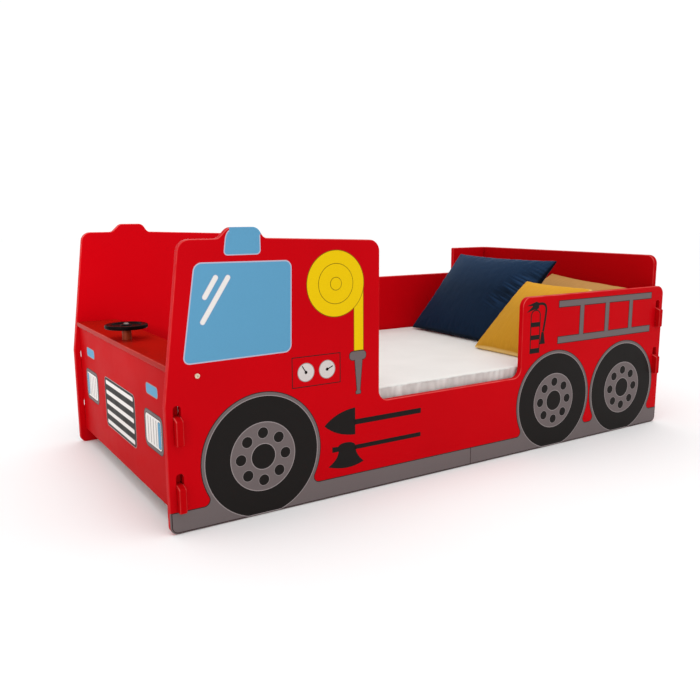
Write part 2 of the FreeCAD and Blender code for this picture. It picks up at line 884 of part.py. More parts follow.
def rounded_rectangle(half_x, half_y, corner, z):
    """A closed wire of four lines and four quarter arcs."""
    diagonal = corner * (1 - math.sqrt(0.5))
    edges = []
    for turn in range(4):
        a, b = (half_x, half_y) if turn % 2 == 0 else (half_y, half_x)
        spin = FreeCAD.Rotation(FreeCAD.Vector(0, 0, 1), 90 * turn)
        side_start = FreeCAD.Vector(a, -b + corner, z)
        side_end = FreeCAD.Vector(a, b - corner, z)
        bend = FreeCAD.Vector(a - diagonal, b - diagonal, z)
        bend_end = FreeCAD.Vector(a - corner, b, z)
        points = [spin.multVec(p) for p in (side_start, side_end, bend, bend_end)]
        edges.append(Part.LineSegment(points[0], points[1]).toShape())
        edges.append(Part.Arc(points[1], points[2], points[3]).toShape())
    return Part.Wire(edges)


def mattress_solid():
    """Lofts the mattress through level sections, each drawn in by its own amount."""
    thickness = dim.mattress_thickness.number
    edge = dim.mattress_edge.number
    rolled = [
        (edge * (1 - math.cos(turn)), edge * (1 - math.sin(turn)))
        for turn in (math.radians(45 * i) for i in range(3))
    ]
    levels = rolled + [(thickness / 2, dim.mattress_waist.number)]
    levels += [(thickness - z, inset) for z, inset in reversed(rolled)]
    levels.append((thickness + dim.mattress_crown.number, dim.mattress_crown_inset.number))
    wires = [
        rounded_rectangle(
            dim.mattress_length.number / 2 - inset,
            dim.mattress_width.number / 2 - inset,
            dim.mattress_corner.number,
            z,
        )
        for z, inset in levels
    ]
    return Part.makeLoft(wires, True, True)


add_soft(
    "mattress",
    mattress_solid(),
    FreeCAD.Placement(at(half_length, 0, mattress_bottom), FreeCAD.Rotation()),
)
doc.recompute()


# Cushions: pointed corners in the seam's plane, sides drawn in between them, a crown on each face
SECTIONS = [
    # share of the half thickness, reach of the corners, reach of the middles of the sides
    (0.0, 1.00, 0.93),
    (0.12, 0.95, 0.915),
    (0.30, 0.85, 0.865),
    (0.60, 0.69, 0.745),
    (0.85, 0.48, 0.55),
    (1.0, 0.22, 0.28),
]


def cushion_section(half_x, half_y, corner_reach, side_reach, z):
    """A closed wire of four arcs, from corner to corner past the middle of each side."""
    corners = [
        FreeCAD.Vector(half_x * a * corner_reach, half_y * b * corner_reach, z)
        for a, b in ((1, 1), (-1, 1), (-1, -1), (1, -1))
    ]
    middles = [
        FreeCAD.Vector(half_x * a * side_reach, half_y * b * side_reach, z)
        for a, b in ((0, 1), (-1, 0), (0, -1), (1, 0))
    ]
    return Part.Wire(
        [Part.Arc(corners[i], middles[i], corners[(i + 1) % 4]).toShape() for i in range(4)]
    )


SETTLE_STEPS = 12
SETTLE_LIMIT = 0.02
LEAST_FACING = 0.2
SETTLE_SHARE = 0.9


def free_travel(solid, carrier, direction, least_gap):
    """How far a soft piece can move before only the least gap to one carrier is left."""
    gap, points, _ = solid.distToShape(carrier)
    towards = (points[0][1] - points[0][0]).normalize()
    return (gap - least_gap.number) / max(towards.dot(direction), LEAST_FACING)


def settled(solid, place, direction, carriers, least_gap):
    """Moves a soft piece along a direction until it lies at what carries it."""
    for _ in range(SETTLE_STEPS):
        solid.Placement = place
        step = min(free_travel(solid, nodes[name].Shape, direction, least_gap) for name in carriers)
        if step < SETTLE_LIMIT:
            break
        move = direction * (step * SETTLE_SHARE)
        place = FreeCAD.Placement(place.Base + move, place.Rotation)
    return place


def make_cushion(name, side, behind):
    """Lofts one cushion, leans it back, lowers it to the mattress and slides it to what is behind."""
    parts = ("width", "tall", "thickness", "side_gap", "lean", "turn", "roll")
    own = {part: getattr(dim, name + "_" + part).number for part in parts}
    half = own["thickness"] / 2
    below = [(-share, corner, edge) for share, corner, edge in reversed(SECTIONS[1:])]
    wires = [
        cushion_section(own["width"] / 2, own["tall"] / 2, corner, edge, half * share)
        for share, corner, edge in below + SECTIONS
    ]
    solid = Part.makeLoft(wires, True, True)
    up = FreeCAD.Vector(0, 0, 1)
    across = FreeCAD.Vector(1, 0, 0)
    lower_edge = FreeCAD.Placement(FreeCAD.Vector(0, own["tall"] / 2, 0), FreeCAD.Rotation())
    roll = FreeCAD.Placement(FreeCAD.Vector(), FreeCAD.Rotation(up, own["roll"]))
    lean = FreeCAD.Placement(FreeCAD.Vector(), FreeCAD.Rotation(across, own["lean"]))
    facing = FreeCAD.Placement(FreeCAD.Vector(), FreeCAD.Rotation(up, own["turn"] - 90))
    from_middle = (inner_half_width.number - own["side_gap"] - own["width"] / 2) * side
    start = FreeCAD.Placement(
        at(half_length, from_middle, mattress_top + own["tall"]), FreeCAD.Rotation()
    )
    place = start * facing * lean * lower_edge * roll
    place = settled(solid, place, up * -1, ["mattress"], dim.cushion_rest_gap)
    place = settled(solid, place, across, behind, dim.soft_gap)
    add_soft(name + "_cushion", solid, place)


make_cushion("tan", -1, ["rear_panel"])
make_cushion("navy", 1, ["rear_panel", "tan_cushion"])
make_cushion("mustard", -1, ["rear_panel", "tan_cushion", "navy_cushion"])


# Checks, and one file for each piece
doc.recompute()
for item in doc.Objects:
    if "Invalid" in item.State or "Error" in item.State:
        raise RuntimeError("%s is in state %s" % (item.Label, item.State))
for label, piece in nodes.items():
    if piece.Shape.isNull() or not piece.Shape.isValid() or not piece.Shape.Solids:
        raise RuntimeError("%s has no valid solid" % label)
os.makedirs("parts", exist_ok=True)
for label, piece in nodes.items():
    piece.Shape.exportStep("parts/%s.step" % label)
print("%d pieces written" % len(nodes))
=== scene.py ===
import math

import bmesh
import bpy
from mathutils import Matrix, Vector, noise


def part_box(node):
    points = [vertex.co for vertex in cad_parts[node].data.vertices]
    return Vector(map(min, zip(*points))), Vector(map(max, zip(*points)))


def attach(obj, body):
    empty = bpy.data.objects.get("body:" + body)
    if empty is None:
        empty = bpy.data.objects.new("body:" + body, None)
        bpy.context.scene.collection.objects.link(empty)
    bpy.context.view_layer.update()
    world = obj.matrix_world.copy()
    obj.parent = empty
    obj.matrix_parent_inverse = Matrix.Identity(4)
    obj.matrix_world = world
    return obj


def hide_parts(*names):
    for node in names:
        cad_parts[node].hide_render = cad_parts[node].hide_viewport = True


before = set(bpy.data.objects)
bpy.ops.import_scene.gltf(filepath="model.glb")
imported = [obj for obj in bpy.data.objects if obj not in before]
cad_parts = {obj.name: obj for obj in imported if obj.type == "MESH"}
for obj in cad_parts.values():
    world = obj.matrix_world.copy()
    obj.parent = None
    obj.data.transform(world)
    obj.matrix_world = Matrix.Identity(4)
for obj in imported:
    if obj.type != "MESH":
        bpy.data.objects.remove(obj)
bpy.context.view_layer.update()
scene = bpy.context.scene

# Camera: stands off the cab's near corner, a little higher than the top of the beacon.
# Place in metres, aim in radians and lens make the bed's edges fall as in the photograph.
camera_place = Vector((-1.1719, -1.6949, 0.6089))
camera_yaw = 0.5672
camera_pitch = -0.1799
camera_roll = -0.0043
lens_length, film_width = 38.38, 36.0
camera_data = bpy.data.cameras.new("camera")
camera_data.lens = lens_length
camera_data.sensor_width = film_width
camera = bpy.data.objects.new("camera", camera_data)
scene.collection.objects.link(camera)
aim = Vector((
    math.sin(camera_yaw) * math.cos(camera_pitch),
    math.cos(camera_yaw) * math.cos(camera_pitch),
    math.sin(camera_pitch),
))
level = Vector((math.cos(camera_yaw), -math.sin(camera_yaw), 0.0))
upright = level.cross(aim)
right = level * math.cos(camera_roll) + upright * math.sin(camera_roll)
up = upright * math.cos(camera_roll) - level * math.sin(camera_roll)
turned = Matrix((right, up, -aim)).transposed().to_4x4()
camera.matrix_world = Matrix.Translation(camera_place) @ turned
scene.camera = camera

# Studio: a pale floor under a bright, even sky, as for a catalogue picture.
# A large soft lamp hangs overhead, and a weak one ahead of the cab lights the far panel's inner face.
floor_size = 40.0
floor_colour = (0.97, 0.97, 0.97, 1.0)
floor_roughness = 0.9
floor_sink = 0.0004
sky_colour = (1.0, 1.0, 1.0, 1.0)
sky_strength = 1.04
key_place, key_target = (-0.6, -1.0, 3.2), (-0.2, 0.0, 0.2)
cab_lamp_place, cab_lamp_target = (-2.2, -1.2, 0.9), (-0.5, 0.355, 0.45)
scene.view_settings.view_transform = "Standard"
floor_mesh = bpy.data.meshes.new("floor")
sheet = bmesh.new()
bmesh.ops.create_grid(sheet, x_segments=1, y_segments=1, size=floor_size / 2)
bmesh.ops.translate(sheet, verts=sheet.verts, vec=(0, 0, -floor_sink))
sheet.to_mesh(floor_mesh)
sheet.free()
floor = bpy.data.objects.new("floor", floor_mesh)
scene.collection.objects.link(floor)
floor_paper = bpy.data.materials.new("floor_paper")
floor_paper.use_nodes = True
floor_shader = floor_paper.node_tree.nodes["Principled BSDF"]
floor_shader.inputs["Base Color"].default_value = floor_colour
floor_shader.inputs["Roughness"].default_value = floor_roughness
floor_mesh.materials.append(floor_paper)
sky = bpy.data.worlds.new("sky")
sky.use_nodes = True
sky_light = sky.node_tree.nodes["Background"].inputs
sky_light["Color"].default_value = sky_colour
sky_light["Strength"].default_value = sky_strength
scene.world = sky


def soft_lamp(name, place, target, size, power, spread=180):
    """A large square lamp at a place, turned to a target, its light spread over some degrees."""
    data = bpy.data.lights.new(name, "AREA")
    data.shape = "SQUARE"
    data.size = size
    data.energy = power
    data.spread = math.radians(spread)
    lamp = bpy.data.objects.new(name, data)
    scene.collection.objects.link(lamp)
    lamp.location = place
    lamp.rotation_euler = (Vector(target) - Vector(place)).to_track_quat("-Z", "Y").to_euler()


soft_lamp("key_lamp", key_place, key_target, size=2.4, power=17)
soft_lamp("cab_lamp", cab_lamp_place, cab_lamp_target, size=0.4, power=0.8, spread=30)

# Side panels: 15 mm fibreboard, routed to the outline of the engine and rounded along every edge.
# Sprayed a satin red all over; the printed band and beacon run on round the rounded outer edge.
panel_red = (193, 3, 14)
# Pale pink painted highlight for the rounded edges.
edge_highlight_red = (240, 122, 116)
band_grey = (108, 98, 98)
beacon_blue = (91, 151, 186)
band_top = 0.045
printed_edge = 0.0022
crest_front, crest_back, crest_depth = 0.141, 0.2065, 0.015
crest_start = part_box("near_side_panel")[0].x + crest_front
crest_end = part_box("near_side_panel")[0].x + crest_back
crest_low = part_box("near_side_panel")[1].z - crest_depth
noise_low, noise_high = 0.3, 0.7


def srgb(red, green, blue):
    """A colour from its 0 to 255 values, in the linear form that shaders take."""
    parts = [c / 255 for c in (red, green, blue)]
    linear = [((c + 0.055) / 1.055) ** 2.4 if c > 0.04 else c / 12.92 for c in parts]
    return (*linear, 1.0)


def toned(colour, share):
    """A colour made darker or lighter by a share of its 0 to 255 values."""
    return srgb(*(share * c for c in colour))


def new_finish(name, roughness, **values):
    """A material whose plain values sit on the shader's own sockets."""
    material = bpy.data.materials.new(name)
    material.use_nodes = True
    sockets = material.node_tree.nodes["Principled BSDF"].inputs
    sockets["Roughness"].default_value = roughness
    for socket, value in values.items():
        sockets[socket.replace("_", " ")].default_value = value
    return material


def add_node(material, kind, inputs, **settings):
    """One node of a material; an input is a plain value or another node's socket."""
    node = material.node_tree.nodes.new("ShaderNode" + kind)
    for setting, value in settings.items():
        setattr(node, setting, value)
    for socket, value in inputs.items():
        if isinstance(value, bpy.types.NodeSocket):
            material.node_tree.links.new(value, node.inputs[socket])
        else:
            node.inputs[socket].default_value = value
    return node


def to_shader(material, socket, output):
    """Feeds a node's output to one socket of the material's shader."""
    shader = material.node_tree.nodes["Principled BSDF"]
    material.node_tree.links.new(output, shader.inputs[socket])


def mix(material, factor, first, second):
    """Blends two colours by a factor."""
    inputs = {0: factor, 6: first, 7: second}
    return add_node(material, "Mix", inputs, data_type="RGBA").outputs[2]


def ranged(material, value, low, high, new_low, new_high):
    """Stretches a value from one range to another, without going past its ends."""
    inputs = {0: value, 1: low, 2: high, 3: new_low, 4: new_high}
    return add_node(material, "MapRange", inputs).outputs[0]


def number(material, operation, first, second=0.0):
    """One sum on two values."""
    return add_node(material, "Math", {0: first, 1: second}, operation=operation).outputs[0]


def speckle(material, place, scale, detail=3.0):
    """Cloudy noise of a given fineness, in lumps per metre."""
    inputs = {"Vector": place, "Scale": scale, "Detail": detail}
    return add_node(material, "TexNoise", inputs).outputs["Fac"]


def clouded(material, place, scale, low=0.0, high=1.0, detail=3.0):
    """Cloudy noise, its usual range stretched to run from one value to another."""
    return ranged(material, speckle(material, place, scale, detail), noise_low, noise_high, low, high)


def bumps(material, height, depth, strength=1.0):
    """Raises the surface by a height pattern, to a depth in metres."""
    inputs = {"Height": height, "Distance": depth, "Strength": strength}
    to_shader(material, "Normal", add_node(material, "Bump", inputs).outputs["Normal"])


def sprayed_paint(name, colour, highlight_colour, across, shine, smoothest=0.29):
    """Satin paint with a faint orange peel, and a pale painted highlight along the roundings, strongest
    where they face up.
    """
    cloud_scale, highlight_patch_scale, gloss_scale, peel_scale = 3.0, 38.0, 16.0, 420.0
    cloud_shade, roughest = 0.955, 1.3 * smoothest
    edge_turn, face_turn, upward_turn = (0.1, 0.5), (0.75, 0.98), (0.0, 0.5)
    least_highlight, most_highlight, highlight_below = 0.2, 0.65, 0.25
    peel_depth, peel_strength = 0.0002, 0.35
    material = new_finish(name, 0.33, Specular_IOR_Level=shine)
    source = add_node(material, "TexCoord", {})
    place = source.outputs["Object"]
    cloud = clouded(material, place, cloud_scale)
    tone = mix(material, cloud, toned(colour, cloud_shade), srgb(*colour))
    normal = add_node(material, "SeparateXYZ", {0: source.outputs["Normal"]})
    facing = number(material, "ABSOLUTE", normal.outputs[across])
    off_edge = ranged(material, facing, *edge_turn, 0.0, 1.0)
    off_face = ranged(material, facing, *face_turn, 1.0, 0.0)
    # Painted highlight: the roundings blend in patches towards a pale colour, most where they face up.
    highlight_strength = clouded(material, place, highlight_patch_scale, least_highlight, most_highlight)
    lit_from_above = ranged(material, normal.outputs["Z"], *upward_turn, highlight_below, 1.0)
    highlight_strength = number(material, "MULTIPLY", highlight_strength, lit_from_above)
    highlight_mask = number(material, "MULTIPLY", number(material, "MULTIPLY", off_edge, off_face), highlight_strength)
    tone = mix(material, highlight_mask, tone, srgb(*highlight_colour))
    to_shader(material, "Base Color", tone)
    to_shader(material, "Roughness", clouded(material, place, gloss_scale, smoothest, roughest))
    bumps(material, speckle(material, place, peel_scale, detail=2.0), peel_depth, peel_strength)
    return material, place, tone


def dress(material, *names):
    """Gives CAD nodes their finish."""
    for name in names:
        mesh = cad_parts[name].data
        mesh.materials.clear()
        mesh.materials.append(material)


side_paint, side_place, side_tone = sprayed_paint("side_paint", panel_red, edge_highlight_red, "Y", shine=0.02)
axes = add_node(side_paint, "SeparateXYZ", {0: side_place})
outer_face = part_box("far_side_panel")[1].y
from_middle = number(side_paint, "ABSOLUTE", axes.outputs["Y"])
outer_skin = number(side_paint, "GREATER_THAN", from_middle, outer_face - printed_edge)
low_edge = number(side_paint, "LESS_THAN", axes.outputs["Z"], band_top)
banded = number(side_paint, "MULTIPLY", outer_skin, low_edge)
side_tone = mix(side_paint, banded, side_tone, srgb(*band_grey))
behind_start = number(side_paint, "GREATER_THAN", axes.outputs["X"], crest_start)
before_end = number(side_paint, "LESS_THAN", axes.outputs["X"], crest_end)
high_edge = number(side_paint, "GREATER_THAN", axes.outputs["Z"], crest_low)
crested = outer_skin
for part in (behind_start, before_end, high_edge):
    crested = number(side_paint, "MULTIPLY", crested, part)
to_shader(side_paint, "Base Color", mix(side_paint, crested, side_tone, srgb(*beacon_blue)))
dress(side_paint, "near_side_panel", "far_side_panel")

# Printed band and wheels: screen print on the outer faces, a grey sill line with wheel arches.
# Each wheel is a black tyre, a grey hub and black holes, all in thin layers of ink.
mm = 0.001
front_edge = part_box("near_side_panel")[0].x
bed_length = (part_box("near_side_panel")[1].x - front_edge) / mm
side_faces = {"near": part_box("near_side_panel")[0].y, "far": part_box("far_side_panel")[1].y}
ink_layer = 0.2
joined_step = 0.1
edge_margin = 2.6
floor_corner = 13.5
outline_width, fine_line = 1.6, 0.9
corner_steps, disc_steps = 8, 72
wheel_height = 124.4
tyre_radius = 127.4
hub_radius = 72.9
arch_radius = 135.0
arch_foot = 12.0
arch_steps, foot_steps = 48, 8
hub_hole_radius = 28.0
lug_radius = 12.4
lug_circle = 50.0
lug_count = 8
wheel_places = (200, 1045, 1320)
band_seam, seam_width = 759, 1.4


def ink(name, colour):
    """Printing ink: nearly even, with a trace of the screen in its colour and gloss."""
    screen_scale, gloss_scale, screen_shade = 900.0, 30.0, 0.97
    smoothest, roughest = 0.37, 0.47
    screen_depth, screen_strength = 0.00008, 0.3
    material = new_finish(name, 0.42, Specular_IOR_Level=0.05)
    place = add_node(material, "TexCoord", {}).outputs["Object"]
    grain = clouded(material, place, screen_scale, detail=2.0)
    to_shader(material, "Base Color", mix(material, grain, toned(colour, screen_shade), srgb(*colour)))
    to_shader(material, "Roughness", clouded(material, place, gloss_scale, smoothest, roughest))
    bumps(material, grain, screen_depth, screen_strength)
    return material


grey_ink = ink("grey_ink", band_grey)
line_ink = ink("line_ink", (46, 26, 28))
black_ink = ink("black_ink", (30, 27, 26))
pale_ink = ink("pale_ink", (150, 140, 140))
wheel_inks = [grey_ink, line_ink, black_ink, pale_ink]
sill_grey, sill_line, tyre_black, wheel_rim = range(len(wheel_inks))


def oblong(left, right, low, high):
    """The four corners of an upright oblong."""
    return [(left, low), (right, low), (right, high), (left, high)]


def patch(sheet, corners, rounding=0):
    """A flat shape from its corners, in mm from the front edge and the floor, with rounded corners."""
    verts = [sheet.verts.new((x * mm, 0, z * mm)) for x, z in corners]
    face = sheet.faces.new(verts)
    face.normal_update()
    radii = rounding if isinstance(rounding, (list, tuple)) else [rounding] * len(verts)
    for vert, radius in zip(verts, radii):
        if radius:
            made = bmesh.ops.bevel(
                sheet, geom=[vert], offset=radius * mm, offset_type="OFFSET", segments=corner_steps,
                profile=0.5, affect="VERTICES", material=-1, clamp_overlap=True,
            )
            face = made["verts"][0].link_faces[0]
    return face


def disc(sheet, x, z, radius, lowest=None):
    """A flat disc, cut off level at the bottom where it would run over the board's edge."""
    place = Matrix.Translation((x * mm, 0, z * mm)) @ Matrix.Rotation(math.radians(90), 4, "X")
    made = bmesh.ops.create_circle(
        sheet, cap_ends=True, radius=radius * mm, segments=disc_steps, matrix=place
    )
    face = made["verts"][0].link_faces[0]
    if lowest is not None and z - radius < lowest:
        made = bmesh.ops.bisect_plane(
            sheet, geom=[face, *face.edges, *face.verts], plane_co=(0, 0, lowest * mm),
            plane_no=(0, 0, 1), clear_inner=True,
        )
        face = [item for item in made["geom"] if isinstance(item, bmesh.types.BMFace)][0]
    return face


def bordered(sheet, face, width):
    """Parts a border of a given width from a flat shape, all round inside its edge."""
    return bmesh.ops.inset_region(
        sheet, faces=[face], thickness=width * mm, use_even_offset=True, use_boundary=True
    )["faces"]


def lay(sheet, face, ink_index, layer=1, border=0, border_ink=0, hollow=False, below=0):
    """Prints a flat shape from one layer of ink up to another, with a border in a second ink."""
    face.material_index = ink_index
    faces = [face]
    if border:
        rim = bordered(sheet, face, border)
        for part in rim:
            part.material_index = border_ink
        faces = rim if hollow else [face, *rim]
        if hollow:
            bmesh.ops.delete(sheet, geom=[face], context="FACES_ONLY")
    verts = list({vert for part in faces for vert in part.verts})
    bmesh.ops.translate(sheet, verts=verts, vec=(0, -below * ink_layer * mm, 0))
    made = bmesh.ops.extrude_face_region(sheet, geom=faces, use_keep_orig=True)
    top = [item for item in made["geom"] if isinstance(item, bmesh.types.BMVert)]
    bmesh.ops.translate(sheet, verts=top, vec=(0, -(layer - below) * ink_layer * mm, 0))


def lay_joined(sheet, makers, ink_index, edge_ink, edge):
    """Prints shapes that run into one another, with one dark line round them all."""
    for make in makers:
        lay(sheet, make(sheet), edge_ink)
    for turn, make in enumerate(makers):
        face = make(sheet)
        bmesh.ops.delete(sheet, geom=bordered(sheet, face, edge), context="FACES")
        lay(sheet, face, ink_index, layer=2 + turn * joined_step, below=1)


def new_piece(name, sheet, materials, body):
    """Makes an object of a finished mesh and lets it ride on a body."""
    bmesh.ops.recalc_face_normals(sheet, faces=sheet.faces)
    if sheet.calc_volume(signed=True) < 0:
        bmesh.ops.reverse_faces(sheet, faces=sheet.faces)
    mesh = bpy.data.meshes.new(name)
    sheet.to_mesh(mesh)
    for material in materials:
        mesh.materials.append(material)
    piece = bpy.data.objects.new(name, mesh)
    scene.collection.objects.link(piece)
    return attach(piece, body)


def print_sides(name, sheet, inks):
    """Puts a print on the near side, and its mirror image on the far side."""
    for side, face_y in side_faces.items():
        copy = sheet.copy()
        if side == "far":
            bmesh.ops.scale(copy, vec=(1, -1, 1), verts=copy.verts)
        bmesh.ops.translate(copy, vec=(front_edge, face_y, 0), verts=copy.verts)
        new_piece(side + "_" + name, copy, inks, "bed_frame")
        copy.free()
    sheet.free()


def arc(x, z, radius, start, end, steps):
    """Points along part of a circle, from one angle to another, in degrees."""
    turns = [math.radians(start + (end - start) * i / steps) for i in range(steps + 1)]
    return [(x + radius * math.cos(turn), z + radius * math.sin(turn)) for turn in turns]


def sill_outline():
    """The sill line from end to end, rising over each wheel, with a small curve at each foot of an arch."""
    low, high = edge_margin, band_top / mm
    left, right = edge_margin, bed_length - edge_margin
    reach = arch_radius + arch_foot
    drop = wheel_height - high - arch_foot
    foot_x = math.sqrt(reach ** 2 - drop ** 2)
    tilt = math.degrees(math.asin(drop / reach))
    top = [(left, high)]
    for x in wheel_places:
        top += arc(x - foot_x, high + arch_foot, arch_foot, -90, tilt, foot_steps)
        top += arc(x, wheel_height, arch_radius, 180 + tilt, -tilt, arch_steps)[1:-1]
        top += arc(x + foot_x, high + arch_foot, arch_foot, 180 - tilt, 270, foot_steps)
    return [(left, low), (right, low), (right, high)] + top[::-1]


sheet = bmesh.new()
sill = sill_outline()
sill_rounding = [floor_corner, floor_corner] + [0] * (len(sill) - 2)
lay(sheet, patch(sheet, sill, sill_rounding), sill_grey, 2, outline_width, sill_line)
seam = oblong(band_seam, band_seam + seam_width, edge_margin, band_top / mm)
lay(sheet, patch(sheet, seam), sill_line, layer=3, below=2)
print_sides("sill_print", sheet, wheel_inks)
for number_on_side, x in enumerate(wheel_places, start=1):
    sheet = bmesh.new()
    tyre = disc(sheet, x, wheel_height, tyre_radius, edge_margin)
    lay(sheet, tyre, tyre_black, 3, outline_width, wheel_rim, below=2)
    hub = disc(sheet, x, wheel_height, hub_radius)
    lay(sheet, hub, sill_grey, 4, outline_width, wheel_rim, below=3)
    hub_hole = disc(sheet, x, wheel_height, hub_hole_radius)
    lay(sheet, hub_hole, tyre_black, 5, outline_width, wheel_rim, below=4)
    for lug in range(lug_count):
        turn = 2 * math.pi * lug / lug_count
        lug_x = x + lug_circle * math.sin(turn)
        lug_z = wheel_height + lug_circle * math.cos(turn)
        lay(sheet, disc(sheet, lug_x, lug_z, lug_radius), tyre_black, 5, fine_line, wheel_rim, below=4)
    print_sides("wheel_print_%d" % number_on_side, sheet, wheel_inks)

# Beacon and cab window: sky blue prints with a pale line round them.
# The beacon runs over the edge of the bump on the roof, and its pale line stops there.
# The window has two white glints across its corner.
blue_ink = ink("blue_ink", beacon_blue)
rim_ink = ink("rim_ink", (176, 176, 196))
white_ink = ink("white_ink", (226, 222, 218))
window_inks = [blue_ink, rim_ink, white_ink]
glass_blue, glass_rim, glint_white = range(len(window_inks))
beacon = [(141, 583.3), (205.2, 583.3), (205.5, 533), (127.4, 533), (132.6, 571)]
beacon_rounding = [8, 15.3, 9, 9, 6]
beacon_line, window_line = 2.0, 2.4
window = [(68, 522), (273, 520), (269, 334), (38, 331)]
window_corner = 15
glints = [((113, 497), (84, 452)), ((138, 496), (78, 405))]
glint_width = 11
glint_corner = glint_width * 0.49


def stroke(start, end, width):
    """The four corners of a straight bar of a given width."""
    along = Vector((end[0] - start[0], end[1] - start[1])).normalized()
    side = Vector((-along.y, along.x)) * width / 2
    ends = [(start, side), (end, side), (end, -side), (start, -side)]
    return [(x + shift.x, z + shift.y) for (x, z), shift in ends]


sheet = bmesh.new()
lay(sheet, patch(sheet, beacon, beacon_rounding), glass_blue, border=beacon_line, border_ink=glass_rim)
for face in sheet.faces:
    spot = face.calc_center_median()
    if spot.x > crest_start - front_edge and spot.z > crest_low:
        face.material_index = glass_blue
print_sides("beacon_print", sheet, window_inks)
sheet = bmesh.new()
lay(sheet, patch(sheet, window, window_corner), glass_blue, border=window_line, border_ink=glass_rim)
for start, end in glints:
    glint = patch(sheet, stroke(start, end, glint_width), glint_corner)
    lay(sheet, glint, glint_white, layer=2, border=fine_line, border_ink=glass_rim, below=1)
print_sides("window_print", sheet, window_inks)

# Hose reel and nozzle: a yellow coil drawn as three rings, its end hanging to a grey nozzle.
# Printed behind the window, with fine olive lines between the turns.
yellow_ink = ink("yellow_ink", (228, 190, 3))
olive_ink = ink("olive_ink", (112, 92, 12))
hose_inks = [yellow_ink, olive_ink, grey_ink, line_ink]
hose_yellow, hose_olive, nozzle_grey, nozzle_line = range(len(hose_inks))
reel_x, reel_z = 376, 467
reel_rings = (70, 42.5, 14)
hose_left, hose_right, hose_end = 420, 445, 320
hose_outline = 1.2
nozzle_parts = [
    (oblong(408, 452, 299, 320), 9),
    ([(427, 230), (436.5, 230), (443, 303), (421, 303)], 0),
    (oblong(424, 438.5, 223.5, 233), 3),
]
sheet = bmesh.new()
hose = oblong(hose_left, hose_right, hose_end, reel_z)
lay(sheet, patch(sheet, hose), hose_yellow, border=hose_outline, border_ink=hose_olive)
for layer, radius in enumerate(reel_rings, start=2):
    lay(sheet, disc(sheet, reel_x, reel_z, radius), hose_yellow, layer, hose_outline, hose_olive)
print_sides("hose_print", sheet, hose_inks)
sheet = bmesh.new()
nozzle_makers = [lambda s, part=part: patch(s, *part) for part in nozzle_parts]
lay_joined(sheet, nozzle_makers, nozzle_grey, nozzle_line, hose_outline)
print_sides("nozzle_print", sheet, hose_inks)

# Gauges: two white dials, each with a plain black pointer, inside a box.
# The box is one thin dark line, printed above the back of the front wheel's arch.
dial_ink = ink("dial_ink", (206, 198, 195))
gauge_inks = [dial_ink, pale_ink, black_ink, line_ink]
dial_white, dial_rim, pointer_black, box_dark = range(len(gauge_inks))
gauge_box = oblong(269, 386, 256, 321)
box_line, dial_line = 1.6, 1.4
dial_radius, pointer_hub, pointer_width = 20, 3.4, 2.2
gauge_pointers = [((302, 287), (293, 301)), ((353, 288), (367, 294))]
sheet = bmesh.new()
lay(sheet, patch(sheet, gauge_box), box_dark, border=box_line, border_ink=box_dark, hollow=True)
for hub, tip in gauge_pointers:
    lay(sheet, disc(sheet, *hub, dial_radius), dial_white, border=dial_line, border_ink=dial_rim)
    lay(sheet, patch(sheet, stroke(hub, tip, pointer_width)), pointer_black, layer=2, below=1)
    lay(sheet, disc(sheet, *hub, pointer_hub), pointer_black, layer=2, below=1)
print_sides("gauge_print", sheet, gauge_inks)

# Spade and axe: plain black silhouettes that lie one above the other behind the front wheel.
# Each is one layer of ink, a curved head and a straight shaft.


def bend(start, control, end, steps=8):
    """Points along a smooth curve from start towards a control point and on to the end."""
    points = []
    for i in range(steps):
        t = i / steps
        near, mid, far = (1 - t) ** 2, 2 * t * (1 - t), t * t
        points.append(tuple(near * a + mid * b + far * c for a, b, c in zip(start, control, end)))
    return points


tool_inks = [black_ink]
tool_black = 0
shaft_start, shaft_end, shaft_corner = 422, 604, 1.5
spade_shaft, axe_shaft = (156, 168), (100, 110)
spade_blade = bend((345, 164), (374, 192), (423, 195)) + [(423, 195)]
spade_blade += bend((423, 134), (374, 137), (345, 164))
axe_head = [(364, 114)] + bend((379, 113), (384, 121), (403, 119.5))
axe_head += bend((403, 119.5), (416, 119), (424, 111)) + bend((424, 100), (428, 84), (445, 70))
axe_head += bend((445, 70), (404, 53), (354, 71)) + bend((354, 71), (378, 84), (380, 102))
axe_head += [(380, 102), (364, 102)]
for name, head, shaft in (("spade", spade_blade, spade_shaft), ("axe", axe_head, axe_shaft)):
    sheet = bmesh.new()
    lay(sheet, patch(sheet, head), tool_black)
    bar = oblong(shaft_start, shaft_end, *shaft)
    lay(sheet, patch(sheet, bar, [0, shaft_corner, shaft_corner, 0]), tool_black)
    print_sides(name + "_print", sheet, tool_inks)

# Extinguisher: a black line drawing on the guard, printed in one ink.
# A bottle with three bands and a domed top, a valve with two levers, and a hose to a flared horn.
bottle_left, bottle_right, bottle_low, bottle_high = 950, 985, 258, 370
bottle_line, bottle_shoulder = 3.0, 16
bottle_bands = [(326, 338), (293, 305), (258, 271)]
valve = [(968, 391), (979, 386), (978, 373), (968, 369), (957, 373), (955, 385)]
levers = [[(963, 389), (962, 380), (935, 381)], [(956, 379), (964, 371), (935, 364)]]
hose_line = bend((974, 383), (1009, 390), (1004, 360)) + bend((1004, 360), (1001, 336), (994, 304))
hose_width = 6.5
horn = [(990, 311), (998, 311), (1004, 280), (985, 280)]
small_corner = 1.5


def ribbon(points, width):
    """The outline of a line of a given width along some points."""
    left, right = [], []
    for i, point in enumerate(points):
        before, after = points[max(i - 1, 0)], points[min(i + 1, len(points) - 1)]
        corners = stroke(before, after, width)
        side = (Vector(corners[0]) - Vector(corners[3])) / 2
        left.append((point[0] + side.x, point[1] + side.y))
        right.append((point[0] - side.x, point[1] - side.y))
    return left + right[::-1]


